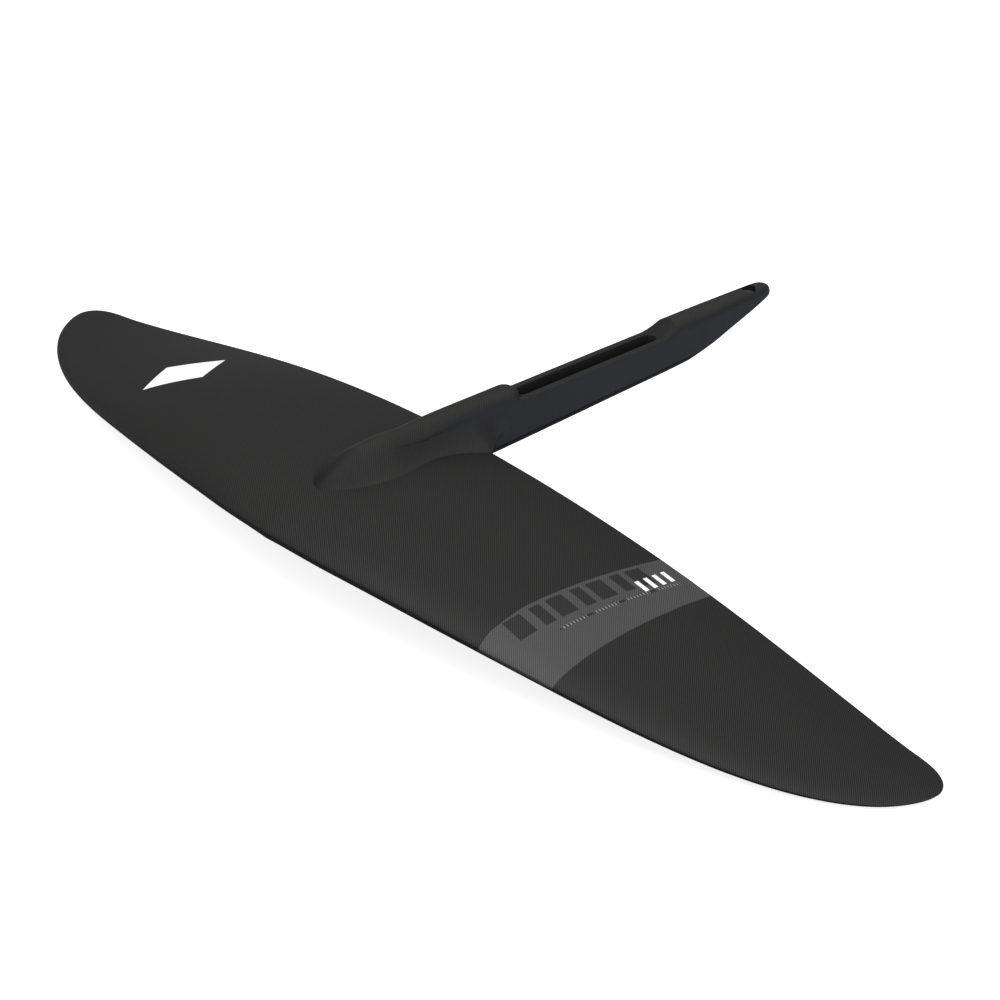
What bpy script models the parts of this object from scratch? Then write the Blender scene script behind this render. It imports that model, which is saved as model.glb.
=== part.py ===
"""Hydrofoil front wing with its integral fuselage, as separate moulded and bonded pieces.

Row frame, metres: +X port, +Y aft, +Z up along the mast. The origin is the centre of
the mast socket's floor. The two rails beside the socket are level, and the wing's root
chord sits nose-down to them by WING_SET_DEG.

The wing, its fairings and the front deck are drawn in the wing's own frame: the same
axes before that tilt, origin at the root's leading edge. The body and tail are drawn
in the row frame. All sizes below are millimetres.
"""

import math

import bmesh
import bpy
import numpy as np

MM = 0.001

# ---------------------------------------------------------------- driving sizes
HALF_SPAN = 410.3
WING_SET_DEG = 4.0             # rails against the root chord plane
SEAT_Y, SEAT_Z = 292.0, 8.05   # rail plane above the socket's middle, in the wing's frame
GAP = 0.3                      # bond gap between neighbouring pieces
SOCKET_DEPTH, SOCKET_WIDTH, SOCKET_LENGTH = 18.0, 10.6, 140.0
BODY_WIDTH = 20.6
CROWN = 8.3                    # decks above the rails
CROWN_POWER = 2.25             # superellipse power of the crown's section

ROLL = math.radians(WING_SET_DEG)
RAIL_Z = SOCKET_DEPTH
DECK_BASE = RAIL_Z - 0.2       # underside of the decks
UNDER_DECK = RAIL_Z - 0.5      # top of the pieces below the decks
BASE_EDGE = 0.5                # upright edge of a deck, below its crown
SOCKET_END = SOCKET_LENGTH / 2

# wing section
SKIN_ROOT, SKIN_TIP = 1.6, 1.0
CAP_ROOT, CAP_TIP = 1.3, 0.7               # depth of the spar caps
THICK_ROOT, THICK_TIP = 0.135, 0.095       # share of the chord
THICK_POWER = 1.5
THICK_TERMS = (0.2969, -0.126, -0.3516, 0.2843, -0.1036)  # four-digit section thickness
CAMBER, CAMBER_AT = 0.03, 0.4
EDGE_THICK = 0.9                           # trailing edge
HALF_THICK_MIN = 0.42
DROOP, DROOP_EASE = -112.0, 56.6           # square and fourth power terms at the tip

# inside the wing: every chord share here is also a CHORD station
NOSE_F, FILLER_F, WEB_F = 0.045, 0.11, 0.33
CAP_FRONT_F, CAP_BACK_F = 0.26, 0.40
EDGE_F, EDGE_END_F = 0.79, 0.88
CAP_STEP_F = 0.0001                        # from a cap's edge to the first row under it
WEB_HALF = 1.4
WEB_END_GAP = 0.15                         # clears the slope of the caps' inner faces
LEAST_ROOM = 0.4
ROOT_JOINT = 12.0                          # root block against the cores and fillers
ROOT_END, PANEL_START = ROOT_JOINT - GAP / 2, ROOT_JOINT + GAP / 2
SPAR_TO, EDGE_TO = 348.0, 322.0

# planform: share of the half span, leading edge, trailing edge
PLAN = [
    (0.0, 0.8, 171.1), (0.1, 3.4, 171.4), (0.2, 9.1, 172.6), (0.3, 16.7, 174.5),
    (0.4, 26.1, 176.7), (0.5, 36.8, 178.5), (0.6, 48.5, 179.5), (0.7, 62.1, 179.2),
    (0.8, 78.6, 177.3), (0.9, 101.0, 173.5), (0.955, 119.2, 170.9), (1.0, 153.0, 153.0),
]
# the same planform as share of the half span, mid chord, half chord squared
PLAN_CURVES = [
    (share, (lead + trail) / 2, ((trail - lead) / 2) ** 2) for share, lead, trail in PLAN
]
# span stations from the centre
SPAN = [
    0.0, ROOT_END, PANEL_START, 35.0, 65.0, 100.0, 140.0, 180.0, 220.0, 258.0, 292.0,
    322.0, 348.0, 369.0, 383.0, 393.0, 400.0, 405.0, 408.2, 409.8,
]
# chord stations, shares of the chord from the leading edge
CHORD = [
    0.0, 0.0025, 0.01, 0.025, 0.045, 0.07, 0.11, 0.17, 0.26, 0.33, 0.40, 0.50, 0.60,
    0.70, 0.79, 0.88, 0.95, 1.0,
]

# fairing over the wing: station, half width on the wing, half width of the crown, ridge height
FAIRING = [
    (46.0, 8.0, 2.6, 18.0), (48.5, 12.5, 4.6, 19.8), (52.0, 16.0, 6.4, 22.0),
    (57.0, 18.8, 8.0, 24.6), (66.0, 21.4, 9.6, 27.8), (79.0, 23.0, 10.3, 30.0),
    (96.0, 23.0, 10.6, 30.2), (118.0, 20.5, 10.6, 28.6), (130.0, 19.6, 10.5, 27.7),
    (144.0, 20.8, 10.3, 26.7), (157.0, 24.0, 10.3, 25.8), (171.7, 28.8, 10.3, 24.8),
]
# keel fairing under the wing: station, half width on the wing, height from the root chord plane
KEEL_FAIRING = [
    (62.0, 6.0, -9.0), (75.0, 13.0, -12.2), (95.0, 17.5, -15.2), (125.0, 19.0, -17.4),
    (150.0, 18.0, -18.4), (171.0, 16.0, -19.0),
]
# underside of the body, row frame: station, height
KEEL = [
    (-119.0, -16.6), (-95.0, -16.1), (-32.0, -14.0), (12.0, -12.3), (57.0, -10.7),
    (81.0, -9.8), (102.0, -8.5), (112.0, -6.4), (125.0, -3.0), (145.0, 2.76),
    (165.0, 8.52), (195.4, 17.27),
]
# plan outline of the body and tail, row frame: station, half width
BODY_PLAN = [
    (-119.0, BODY_WIDTH / 2), (81.0, BODY_WIDTH / 2), (115.0, 10.1), (150.0, 9.2),
    (175.0, 8.3), (184.0, 7.7), (189.5, 6.5), (193.0, 5.0), (195.4, 3.2),
]

# ---------------------------------------------------------------- scene
for found in list(bpy.data.objects):
    bpy.data.objects.remove(found, do_unlink=True)
parts = bpy.data.collections.new("hydrofoil_wing")
tools = bpy.data.collections.new("cutters")
bpy.context.scene.collection.children.link(parts)
bpy.context.scene.collection.children.link(tools)


def material(name, colour, roughness, metallic=0.0):
    made = bpy.data.materials.new(name)
    made.use_nodes = True
    shader = made.node_tree.nodes["Principled BSDF"]
    shader.inputs["Base Color"].default_value = (*colour, 1.0)
    shader.inputs["Roughness"].default_value = roughness
    shader.inputs["Metallic"].default_value = metallic
    made.diffuse_color = (*colour, 1.0)
    return made


CARBON = material("carbon_skin", colour=(0.026, 0.025, 0.023), roughness=0.42)
LAMINATE = material("solid_laminate", colour=(0.035, 0.035, 0.037), roughness=0.55)
FOAM = material("core_foam", colour=(0.72, 0.66, 0.50), roughness=0.9)
TOW = material("carbon_tow", colour=(0.02, 0.02, 0.022), roughness=0.5)
STEEL = material("insert_metal", colour=(0.62, 0.61, 0.60), roughness=0.3, metallic=1.0)
RESIN = material("bonding_filler", colour=(0.16, 0.15, 0.13), roughness=0.6)


# ---------------------------------------------------------------- curves and frames
def clamp(value):
    return min(max(value, 0.0), 1.0)


def smooth_at(table, column, station):
    """Monotone cubic through one column of a table, which never overshoots its points."""
    stations = np.array([row[0] for row in table])
    values = np.array([row[column] for row in table])
    step = np.diff(stations)
    rise = np.diff(values) / step
    slope = np.zeros_like(values)
    slope[0], slope[-1] = rise[0], rise[-1]
    for i in range(1, len(stations) - 1):
        if rise[i - 1] * rise[i] > 0:
            before = 2 * step[i] + step[i - 1]
            after = step[i] + 2 * step[i - 1]
            slope[i] = (before + after) / (before / rise[i - 1] + after / rise[i])
    i = np.clip(np.searchsorted(stations, station, side="right") - 1, 0, len(step) - 1)
    t = clamp((station - stations[i]) / step[i])
    return float(
        values[i] * (1 + 2 * t) * (1 - t) ** 2
        + slope[i] * step[i] * t * (1 - t) ** 2
        + values[i + 1] * t * t * (3 - 2 * t)
        + slope[i + 1] * step[i] * t * t * (t - 1)
    )


def in_metres(point):
    return tuple(value * MM for value in point)


def wing_to_row(point):
    """From the wing's frame, millimetres, to the row frame, metres."""
    x, y, z = point
    y, z = y - SEAT_Y, z - SEAT_Z
    return in_metres((
        x,
        y * math.cos(ROLL) - z * math.sin(ROLL),
        y * math.sin(ROLL) + z * math.cos(ROLL) + SOCKET_DEPTH,
    ))


def rail_plane(y):
    """Height of the rail plane in the wing's frame."""
    return SEAT_Z - (y - SEAT_Y) * math.tan(ROLL)


# ---------------------------------------------------------------- making and cutting pieces
TURN_STEPS = 28  # round a drilled hole or a turned piece
SHARP_DEG = 35


def finish(name, bm, mat, where=parts):
    mesh = bpy.data.meshes.new(name)
    bm.to_mesh(mesh)
    bm.free()
    made = bpy.data.objects.new(name, mesh)
    where.objects.link(made)
    if mat:
        mesh.materials.append(mat)
    mesh.shade_smooth()
    mesh.set_sharp_from_angle(angle=math.radians(SHARP_DEG))
    if where is tools:
        made.hide_render = True
        made.display_type = "WIRE"
    return made


def loft(name, rings, mat, place=in_metres, where=parts):
    """A closed solid through matching closed rings, capped at both ends."""
    bm = bmesh.new()
    rows = [[bm.verts.new(place(point)) for point in ring] for ring in rings]
    for row, after in zip(rows, rows[1:]):
        count = len(row)
        for i in range(count):
            j = (i + 1) % count
            bm.faces.new((row[i], row[j], after[j], after[i]))
    bm.faces.new(rows[0][::-1])
    bm.faces.new(rows[-1])
    bmesh.ops.recalc_face_normals(bm, faces=bm.faces)
    return finish(name, bm, mat, where)


def block(name, size, centre_z, mat=None, where=parts):
    """A box centred on the Z axis."""
    bm = bmesh.new()
    bmesh.ops.create_cube(bm, size=1.0)
    for vert in bm.verts:
        vert.co = [vert.co[k] * size[k] * MM for k in range(3)]
    made = finish(name, bm, mat, where)
    made.location = in_metres((0, 0, centre_z))
    return made


def drill(name, radius, low, high, y):
    """An upright round cutter on the centre line."""
    bm = bmesh.new()
    bmesh.ops.create_cone(
        bm, cap_ends=True, segments=TURN_STEPS,
        radius1=radius * MM, radius2=radius * MM, depth=(high - low) * MM,
    )
    made = finish(name, bm, None, tools)
    made.location = in_metres((0, y, (low + high) / 2))
    return made


def cut(target, cutter):
    made = target.modifiers.new(cutter.name, "BOOLEAN")
    made.operation = "DIFFERENCE"
    made.solver = "EXACT"
    made.object = cutter


def turned(name, outline, y, mat):
    """A piece turned about an upright axis, from a closed (radius, height) outline."""
    mesh = bpy.data.meshes.new(name)
    count = len(outline)
    mesh.from_pydata(
        [(radius * MM, 0.0, z * MM) for radius, z in outline],
        [(i, (i + 1) % count) for i in range(count)],
        [],
    )
    made = bpy.data.objects.new(name, mesh)
    parts.objects.link(made)
    made.location = in_metres((0, y, 0))
    mesh.materials.append(mat)
    turn = made.modifiers.new("turn", "SCREW")
    turn.steps = turn.render_steps = TURN_STEPS
    turn.use_merge_vertices = True
    turn.merge_threshold = 1e-6
    turn.use_smooth_shade = True


# ---------------------------------------------------------------- the wing's shape
def span_share(x):
    return abs(x) / HALF_SPAN


def root_to_tip(root, tip, x):
    return root + (tip - root) * span_share(x)


def both_sides(stations):
    return [-x for x in stations[::-1] if x > 0] + list(stations)


def stations_between(low, high):
    return [x for x in SPAN if low - 1e-6 <= x <= high + 1e-6]


WING_STATIONS = both_sides(SPAN)


def plan(x):
    """Leading edge and chord at x. The half chord is interpolated squared, to round the tip."""
    share = min(span_share(x), 1.0)
    mid = smooth_at(PLAN_CURVES, 1, share)
    half = math.sqrt(max(smooth_at(PLAN_CURVES, 2, share), 0.01))
    return mid - half, 2 * half


def profile(x):
    """The section at x on the CHORD stations: y, then skin heights from the top face down."""
    lead, chord = plan(x)
    s = span_share(x)
    f = np.array(CHORD)
    thick = THICK_ROOT + (THICK_TIP - THICK_ROOT) * s**THICK_POWER
    root_term, *power_terms = THICK_TERMS
    shape = root_term * np.sqrt(f)
    for power, term in enumerate(power_terms, start=1):
        shape = shape + term * f**power
    half = 5 * thick * shape * chord + EDGE_THICK / 2 * f
    half = np.maximum(half, np.where(f > 0, HALF_THICK_MIN, GAP / 2))
    peak = CAMBER_AT
    camber = np.where(
        f < peak,
        (2 * peak * f - f * f) / peak**2,
        ((1 - 2 * peak) + 2 * peak * f - f * f) / (1 - peak) ** 2,
    )
    line = CAMBER * chord * camber + DROOP * s**2 + DROOP_EASE * s**4
    inner = np.maximum(half - root_to_tip(SKIN_ROOT, SKIN_TIP, x), GAP / 2)
    return lead + f * chord, line + half, line + inner, line - inner, line - half


def wing_surface(x, y, upper=True):
    """Height of the wing's outer surface, along the same straight facets as its skin."""
    k = min(max(int(np.searchsorted(WING_STATIONS, x)), 1), len(WING_STATIONS) - 1)
    pair = WING_STATIONS[k - 1], WING_STATIONS[k]
    share = (x - pair[0]) / (pair[1] - pair[0])
    heights = []
    for station in pair:
        ys, top, _, _, low = profile(station)
        heights.append(float(np.interp(y, ys, top if upper else low)))
    return heights[0] * (1 - share) + heights[1] * share


def skin_ring(x, upper):
    y, top, top_in, low_in, low = profile(x)
    outer, inner = (top, top_in) if upper else (low, low_in)
    ring = [(x, y[i], outer[i]) for i in range(len(y))]
    return ring + [(x, y[i], inner[i]) for i in range(len(y) - 1, 0, -1)]


def make_skins():
    for name, upper in (("upper_skin", True), ("lower_skin", False)):
        loft(name, [skin_ring(x, upper) for x in WING_STATIONS], CARBON, wing_to_row)


# ---------------------------------------------------------------- inside the wing
def cap_depth(x):
    return root_to_tip(CAP_ROOT, CAP_TIP, x)


def cavity(x, f, under_cap=False):
    """y, ceiling and floor at chord share f, a gap inside the skins, or inside the caps."""
    y, _, top_in, low_in, _ = profile(x)
    inset = GAP + (cap_depth(x) + GAP if under_cap else 0.0)
    ceiling = float(np.interp(f, CHORD, top_in)) - inset
    floor = float(np.interp(f, CHORD, low_in)) + inset
    assert ceiling - floor > LEAST_ROOM, f"no room inside the wing at x {x}, chord share {f}"
    return [float(np.interp(f, CHORD, y)), ceiling, floor]


def open_rows(x, low, high):
    """Cavity rows on the chord stations from low to high, clear of the caps."""
    return [cavity(x, f) for f in CHORD if low - 1e-6 <= f <= high + 1e-6]


def ring_of(x, rows):
    """A ring aft along the ceilings and back forward along the floors."""
    return [(x, y, top) for y, top, _ in rows] + [(x, y, low) for y, _, low in rows[::-1]]


def filler_ring(x, low, high):
    rows = open_rows(x, low, high)
    rows[0][0] += GAP / 2
    rows[-1][0] -= GAP / 2
    return ring_of(x, rows)


def fore_ring(x, start, clearance):
    """From chord share start aft to the web, stepping in beneath the caps."""
    rows = open_rows(x, start, CAP_FRONT_F)
    rows += [cavity(x, f, under_cap=True) for f in (CAP_FRONT_F + CAP_STEP_F, WEB_F)]
    rows[0][0] += clearance
    rows[-1][0] -= WEB_HALF + GAP
    # the step stands upright, a gap ahead of the caps
    rows[-3][0] -= GAP
    rows[-2][0] = rows[-3][0]
    return ring_of(x, rows)


def aft_ring(x, end, clearance):
    """From the web aft to chord share end, stepping out behind the caps."""
    rows = [cavity(x, f, under_cap=True) for f in (WEB_F, CAP_BACK_F - CAP_STEP_F)]
    rows += open_rows(x, CAP_BACK_F, end)
    rows[0][0] += WEB_HALF + GAP
    rows[-1][0] -= clearance
    # the step stands upright, a gap behind the caps
    rows[2][0] += GAP
    rows[1][0] = rows[2][0]
    return ring_of(x, rows)


def make_wing_filling():
    """The pieces along the wing, each from its outline function, chord limits and end station."""
    kinds = (
        ("leading_edge_filler", filler_ring, (NOSE_F, FILLER_F), SPAR_TO, TOW),
        ("fore_core", fore_ring, (FILLER_F, GAP / 2), SPAR_TO, FOAM),
        ("aft_core", aft_ring, (EDGE_F, GAP / 2), SPAR_TO, FOAM),
        ("trailing_edge_filler", filler_ring, (EDGE_F, EDGE_END_F), EDGE_TO, RESIN),
    )
    for side, sign in (("port", 1), ("starboard", -1)):
        for name, outline, limits, end, mat in kinds:
            rings = [outline(sign * x, *limits) for x in stations_between(PANEL_START, end)]
            loft(f"{side}_{name}", rings, mat, wing_to_row)


def make_root_blocks():
    root = both_sides(stations_between(0.0, ROOT_END))
    fore = [fore_ring(x, NOSE_F, 0.0) for x in root]
    aft = [aft_ring(x, EDGE_END_F, 0.0) for x in root]
    loft("root_block_fore", fore, LAMINATE, wing_to_row)
    loft("root_block_aft", aft, LAMINATE, wing_to_row)


def cap_ring(x, sign):
    """A spar cap's section: sign is 1 for the upper cap and -1 for the lower."""
    outer = []
    for f in (CAP_FRONT_F, WEB_F, CAP_BACK_F):
        y, ceiling, floor = cavity(x, f)
        outer.append((x, y, ceiling if sign > 0 else floor))
    return outer + [(x, y, z - sign * cap_depth(x)) for _, y, z in outer[::-1]]


def web_ring(x):
    y, top, low = cavity(x, WEB_F, under_cap=True)
    top -= WEB_END_GAP
    low += WEB_END_GAP
    return [
        (x, y - WEB_HALF, top), (x, y + WEB_HALF, top),
        (x, y + WEB_HALF, low), (x, y - WEB_HALF, low),
    ]


def make_spar():
    spar = both_sides(stations_between(0.0, SPAR_TO))
    for name, sign in (("spar_cap_upper", 1), ("spar_cap_lower", -1)):
        loft(name, [cap_ring(x, sign) for x in spar], TOW, wing_to_row)
    loft("spar_web", [web_ring(x) for x in spar], LAMINATE, wing_to_row)


# ---------------------------------------------------------------- crowned outlines
ACROSS_CROWN, ACROSS_FLANK = 5, 6  # steps in half an outline


def half_crown(half, ridge, shoulder):
    """Half a superelliptic crown as (x, z), from the ridge out to the shoulder."""
    power = 2 / CROWN_POWER
    outline = []
    for i in range(ACROSS_CROWN + 1):
        a = math.radians(90.0 * i / ACROSS_CROWN)
        z = shoulder + (ridge - shoulder) * abs(math.cos(a)) ** power
        outline.append((half * math.sin(a) ** power, z))
    return outline


def mirrored(half_outline):
    """Starboard to port over the top, from a half outline that starts on the centre line."""
    return [(-x, z) for x, z in half_outline[:0:-1]] + list(half_outline)


def closed_flat(y, top, half, low_z):
    """A ring under an outline, closed by as many evenly spread points on a flat underside."""
    count = len(top)
    low = [(half * (1 - 2 * i / (count - 1)), low_z) for i in range(count)]
    return [(x, y, z) for x, z in top + low]


# ---------------------------------------------------------------- front deck and keel fairing
WING_CLEAR = GAP + 0.25        # bond gap, and room for the twist inside a quad of the wing
FEATHER = 0.45                 # least thickness at a fairing's edge
SHOULDER_SHARE = 0.45          # nose shoulder's height between the wing and the ridge
BLEND_FROM, BLEND_LENGTH = 80.0, 60.0  # where the shoulder rises to the rail plane
FRONT_DECK_END = SEAT_Y - SOCKET_END * math.cos(ROLL)
FALL_LENGTH, FALL_LEAST = 10.0, 0.16   # the crown's turn-down and the share of it that remains
UNDERSIDE_SHARE = 0.995        # front deck's underside against its full width
KEEL_HALF_STEPS = 8            # steps across each half of the keel fairing

DECK_OVER_WING = [
    46.0, 48.0, 51.0, 56.0, 62.0, 70.0, 80.0, 96.0, 118.0, 134.0, 148.0, 160.0, 171.4,
]
DECK_BEHIND_WING = [
    171.41, 185.0, 200.0, FRONT_DECK_END - FALL_LENGTH, FRONT_DECK_END - 6.0,
    FRONT_DECK_END - 2.5, FRONT_DECK_END - 0.8, FRONT_DECK_END,
]
KEEL_FAIRING_STATIONS = (62.0, 66.0, 75.0, 85.0, 95.0, 110.0, 125.0, 140.0, 155.0, 168.0)


def deck_ring_over_wing(y):
    foot, half, ridge = (smooth_at(FAIRING, column, y) for column in (1, 2, 3))
    ground = wing_surface(foot, y) + WING_CLEAR + FEATHER
    centre = wing_surface(0.0, y) + WING_CLEAR + FEATHER
    # the shoulder is the rail plane aft, and sinks with the ridge towards the nose
    blend = clamp((y - BLEND_FROM) / BLEND_LENGTH)
    blend = blend * blend * (3 - 2 * blend)
    nose_shoulder = centre + SHOULDER_SHARE * (ridge - centre)
    shoulder = (1 - blend) * nose_shoulder + blend * rail_plane(y)
    outline = half_crown(half, ridge, shoulder)
    for i in range(1, ACROSS_FLANK + 1):
        a = math.radians(90.0 * i / ACROSS_FLANK)
        x = foot - (foot - half) * math.cos(a)
        outline.append((x, ground + (shoulder - ground) * (1 - math.sin(a))))
    top = mirrored(outline)
    low = [(x, wing_surface(x, y) + WING_CLEAR) for x, _ in top[::-1]]
    return [(x, y, z) for x, z in top + low]


def deck_ring_behind_wing(y):
    half = BODY_WIDTH / 2
    low_z = rail_plane(y) + (DECK_BASE - RAIL_Z) / math.cos(ROLL)
    # the crown turns down over the last few millimetres before the socket
    left = clamp((FRONT_DECK_END - y) / FALL_LENGTH)
    fall = math.sqrt(1 - (1 - left) ** 2)
    ridge = rail_plane(y) + CROWN * (FALL_LEAST + (1 - FALL_LEAST) * fall)
    flank = [
        (half, low_z + BASE_EDGE * (1 - (i + 1) / (ACROSS_FLANK + 1)))
        for i in range(ACROSS_FLANK)
    ]
    top = mirrored(half_crown(half, ridge, low_z + BASE_EDGE) + flank)
    return closed_flat(y, top, half * UNDERSIDE_SHARE, low_z)


def make_front_deck():
    rings = [deck_ring_over_wing(y) for y in DECK_OVER_WING]
    rings += [deck_ring_behind_wing(y) for y in DECK_BEHIND_WING]
    loft("front_deck", rings, CARBON, wing_to_row)


def keel_fairing_ring(y):
    foot = smooth_at(KEEL_FAIRING, 1, y)
    bottom = smooth_at(KEEL_FAIRING, 2, y)
    top, low = [], []
    for i in range(-KEEL_HALF_STEPS, KEEL_HALF_STEPS + 1):
        across = i / KEEL_HALF_STEPS
        x = foot * across
        ceiling = wing_surface(x, y, upper=False) - WING_CLEAR
        # a bell across the width, cut off flat along the bottom
        bell = min(1.0, 1.25 * (1 - across * across) ** 1.3)
        edge = ceiling - FEATHER
        top.append((x, y, ceiling))
        low.append((x, y, edge - max(edge - bottom, 0.3) * bell))
    return top + low[::-1]


def make_keel_fairing():
    rings = [keel_fairing_ring(y) for y in KEEL_FAIRING_STATIONS]
    loft("keel_fairing", rings, CARBON, wing_to_row)


# ---------------------------------------------------------------- the body behind the wing
BODY_START, SHELL_END = -117.2, 95.0
SHELL_INNER = SOCKET_WIDTH / 2 + 1.3
INNER = SHELL_INNER - GAP      # half width of the pieces between the shells
SHELL_CHAMFER = 0.6
SHELL_CORNER = 5.0             # height of the rounded lower corner
SHELL_FOOT = 0.3               # flat left between that corner and the inner face
CORNER_STEPS = 3
KEEL_STRIP = 3.0
LINER_WALL, LINER_FLOOR = 1.0, 2.0
LINER_END = SOCKET_END + LINER_WALL
LINER_TOP = RAIL_Z - 0.8
FLOOR_BLOCK_TOP = -LINER_FLOOR - GAP
POCKET_HEIGHT = 40.0
POCKET_BEVEL = 0.8
SLEEVE_Y = 45.0                # the mast bolts' places either side of the socket's middle
SLEEVE_OUTER, SLEEVE_INNER = 10.0, 8.2
SLEEVE_RECESS = 0.25           # sleeve's lower end above the keel
SLEEVE_CHAMFER = 0.3

# the shells' tops step up to the rails between the decks: station, height of the top
SHELL_TOPS = [
    (BODY_START, UNDER_DECK), (-95.0, UNDER_DECK), (-SOCKET_END - 0.01, UNDER_DECK),
    (-SOCKET_END, RAIL_Z), (-45.0, RAIL_Z), (-15.0, RAIL_Z), (15.0, RAIL_Z), (45.0, RAIL_Z),
    (SOCKET_END, RAIL_Z), (SOCKET_END + 0.01, UNDER_DECK), (82.0, UNDER_DECK),
    (SHELL_END, UNDER_DECK),
]


def keel_at(y):
    return smooth_at(KEEL, 1, y)


def half_width(y):
    return smooth_at(BODY_PLAN, 1, y)


def above_strip(y):
    return keel_at(y) + KEEL_STRIP + GAP


def shell_ring(y, top, sign):
    half, bottom = half_width(y), keel_at(y)
    corner_width = half - SHELL_INNER - SHELL_FOOT
    outline = [
        (SHELL_INNER, top), (half - SHELL_CHAMFER, top), (half, top - SHELL_CHAMFER),
        (half, bottom + SHELL_CORNER),
    ]
    for i in range(1, CORNER_STEPS + 1):
        a = math.radians(90.0 * i / CORNER_STEPS)
        x = half - corner_width * (1 - math.cos(a))
        outline.append((x, bottom + SHELL_CORNER * (1 - math.sin(a))))
    outline.append((SHELL_INNER, bottom))
    return [(sign * x, y, z) for x, z in outline]


def make_shells():
    for side, sign in (("port", 1), ("starboard", -1)):
        rings = [shell_ring(y, top, sign) for y, top in SHELL_TOPS]
        loft(f"{side}_body_shell", rings, CARBON)


def box_ring(y, half, low, high):
    return [(-half, y, low), (half, y, low), (half, y, high), (-half, y, high)]


def band(name, stations, low, high, mat):
    """A piece between the shells, from heights low(y) to high(y)."""
    return loft(name, [box_ring(y, INNER, low(y), high(y)) for y in stations], mat)


def make_body_cores():
    for name, stations in (
        ("front_body_core", [BODY_START, -105.0, -95.0, -LINER_END - GAP]),
        ("aft_body_core", [LINER_END + GAP, 82.0, SHELL_END]),
    ):
        band(name, stations, above_strip, lambda y: UNDER_DECK, FOAM)


def make_keel_strip():
    stations = [BODY_START, -95.0, -70.0, -32.0, 12.0, 57.0, 82.0, SHELL_END]
    return band("keel_strip", stations, keel_at, lambda y: keel_at(y) + KEEL_STRIP, LAMINATE)


def make_floor_block():
    stations = [-LINER_END, -32.0, 12.0, 57.0, LINER_END]
    return band(
        "socket_floor_block", stations, above_strip, lambda y: FLOOR_BLOCK_TOP, LAMINATE
    )


def make_liner():
    """The socket liner is a tub: a block with the socket milled out of it."""
    size = (2 * INNER, 2 * LINER_END, LINER_TOP + LINER_FLOOR)
    liner = block("mast_socket_liner", size, (LINER_TOP - LINER_FLOOR) / 2, LAMINATE)
    pocket_size = (SOCKET_WIDTH, SOCKET_LENGTH, POCKET_HEIGHT)
    pocket = block("socket_cutter", pocket_size, POCKET_HEIGHT / 2, where=tools)
    corner = pocket.modifiers.new("corners", "BEVEL")
    corner.width = POCKET_BEVEL * MM
    corner.segments = 2
    corner.affect = "EDGES"
    corner.limit_method = "ANGLE"
    cut(liner, pocket)
    return liner


def make_mast_bolt_sleeves(floor_block, keel_strip, liner):
    """Sleeves through the strip and floor block, and the bolt holes in the liner's floor."""
    outer, inner = SLEEVE_OUTER / 2, SLEEVE_INNER / 2
    for place, y in (("fore", -SLEEVE_Y), ("aft", SLEEVE_Y)):
        through = drill(f"{place}_sleeve_cutter", outer + GAP, -40.0, -LINER_FLOOR - 1e-3, y)
        cut(floor_block, through)
        cut(keel_strip, through)
        cut(liner, drill(f"{place}_bolt_cutter", inner, -10.0, 6.0, y))
        # the keel rises aft, so the sleeve's aft edge sets its lower end
        low = keel_at(y + outer) + SLEEVE_RECESS
        outline = [
            (outer, FLOOR_BLOCK_TOP), (outer, low), (inner + SLEEVE_CHAMFER, low),
            (inner, low + SLEEVE_CHAMFER), (inner, FLOOR_BLOCK_TOP),
        ]
        turned(f"{place}_mast_bolt_sleeve", outline, y, STEEL)


# ---------------------------------------------------------------- the tail
HOLE_Y = 174.0                 # stabiliser bolt
COUNTERBORE = 12.0
BUSH_OUTER, BUSH_INNER = 8.0, 6.2
FLANGE = 4.0                   # the bush's flange fills the lower part of the counterbore
FLANGE_CLEAR = 0.35
SEAT_PLATE = 1.3
SEAT_START, SEAT_END = 146.0, 185.0
SEAT_MARGIN = 1.7              # tail's side to the seat plate's side
RAMP = 16.5                    # the deck's front face slopes up over this length
RIDGE_LEAST = 0.12             # least share of the deck's full height
END_START, END_RADIUS = 184.0, 12.4  # quarter ellipse that lowers the deck's aft end
END_LEAST = 0.35               # share of the height the ellipse leaves
CUT_LOW, CUT_HIGH = -20.0, RAIL_Z + 4.0  # reach of the drills through the tail

TAIL_STATIONS = [
    SHELL_END + GAP, 102.0, 107.0, 112.0, 118.0, 125.0, 135.0, 145.0, 155.0, 165.0, 175.0,
    184.0, 189.5, 193.0, 195.3,
]
TAIL_DECK_STATIONS = [
    SOCKET_END + 0.4, SOCKET_END + 4.0, SOCKET_END + 8.0, SOCKET_END + 12.0,
    SOCKET_END + RAMP, 100.0, 125.0, 150.0, 168.0, 180.0, 186.0, 190.0, 193.0, 195.3,
]


def tail_ring(y):
    half, high = half_width(y), UNDER_DECK
    low = min(keel_at(y), high - 0.8)
    # the shells' deep corner runs out into a small one along the tail
    fade = clamp((y - SHELL_END) / 40.0)
    corner_width = min(3.4 - 2.0 * fade, half * 0.4)
    corner_height = min(SHELL_CORNER - 3.2 * fade, (high - low) * 0.4)
    return [
        (-half, y, high), (-half, y, low + corner_height), (-half + corner_width, y, low),
        (half - corner_width, y, low), (half, y, low + corner_height), (half, y, high),
    ]


def seat_rings(clearance, below):
    """The seat plate's two ends, grown by a clearance and deepened below the keel."""
    rings = []
    for y in (SEAT_START - clearance, SEAT_END + clearance):
        half = half_width(y) - SEAT_MARGIN + clearance
        bottom = keel_at(y)
        rings.append(box_ring(y, half, bottom - below, bottom + SEAT_PLATE + clearance))
    return rings


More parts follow.
